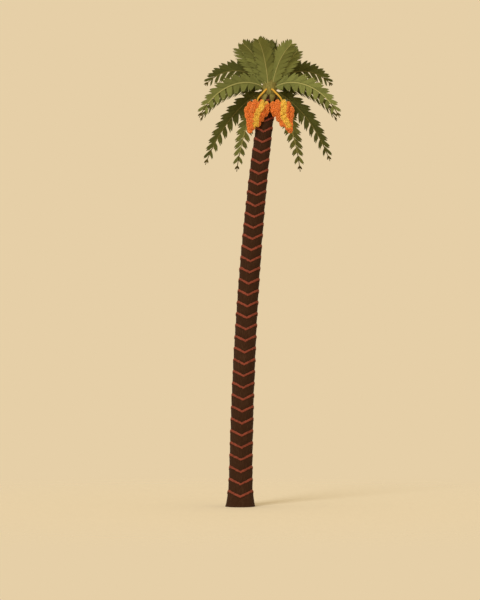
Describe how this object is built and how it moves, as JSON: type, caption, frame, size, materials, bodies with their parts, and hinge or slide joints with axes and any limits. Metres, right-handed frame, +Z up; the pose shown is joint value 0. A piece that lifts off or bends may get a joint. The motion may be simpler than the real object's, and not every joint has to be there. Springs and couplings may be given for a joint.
{
  "type": "date palm tree",
  "caption": "Tall date palm with a gently leaning trunk ringed by V-shaped leaf scars, tiers of arching feather fronds and hanging bunches of orange dates.",
  "frame": {"origin": "middle of the flat cut under the trunk, at ground level", "axes": "+Z up, -Y to the front that the picture shows, +X to the side that the trunk leans to"},
  "size_m": [4.2739, 3.3786, 14.0367],
  "materials": {
    "bark": "rough dark brown palm bark with red-brown lips of cut leaf bases",
    "leaf_base": "fibrous olive leaf bases and brown matting",
    "fruit_stalk": "smooth waxy yellow-orange stalk",
    "dates": "satin orange and yellow fruit skin",
    "frond_olive": "matt waxy olive leaflets on a pale rib",
    "frond_dark": "matt waxy dark olive leaflets on a pale rib"
  },
  "bodies": {
    "root": {"trunk": "bark", "heart": "leaf_base", "spear_leaf": "frond_olive", "leaf_base_1": "leaf_base", "leaf_base_2": "leaf_base", "leaf_base_3": "leaf_base", "leaf_base_4": "leaf_base", "leaf_base_5": "leaf_base", "leaf_base_6": "leaf_base", "fruit_stalk_left": "fruit_stalk", "date_bunch_left": "dates", "fruit_stalk_right": "fruit_stalk", "date_bunch_right": "dates", "fruit_stalk_back": "fruit_stalk", "date_bunch_back": "dates", "skirt_frond_1": "frond_dark", "skirt_frond_2": "frond_dark", "under_frond_1": "frond_olive", "under_frond_2": "frond_olive", "arch_frond_1_inner": "frond_olive", "arch_frond_1_outer": "frond_olive", "arch_frond_2_inner": "frond_olive", "arch_frond_2_outer": "frond_olive", "back_arch_frond_1_inner": "frond_dark", "back_arch_frond_1_outer": "frond_dark", "back_arch_frond_2_inner": "frond_dark", "back_arch_frond_2_outer": "frond_dark", "back_arch_frond_3_inner": "frond_dark", "back_arch_frond_3_outer": "frond_dark", "shoulder_frond_1_inner": "frond_dark", "shoulder_frond_1_outer": "frond_dark", "shoulder_frond_2_inner": "frond_dark", "shoulder_frond_2_outer": "frond_dark", "back_shoulder_frond_1_inner": "frond_dark", "back_shoulder_frond_1_outer": "frond_dark", "back_shoulder_frond_2_inner": "frond_dark", "back_shoulder_frond_2_outer": "frond_dark", "fan_frond_1": "frond_olive", "fan_frond_2": "frond_olive", "fan_frond_3": "frond_olive", "side_fan_frond_1": "frond_olive", "side_fan_frond_2": "frond_olive", "back_fan_frond_1": "frond_dark", "back_fan_frond_2": "frond_dark", "back_fan_frond_3": "frond_dark", "young_frond_1": "frond_olive", "young_frond_2": "frond_olive", "young_frond_3": "frond_olive"}
  },
  "joints": []
}
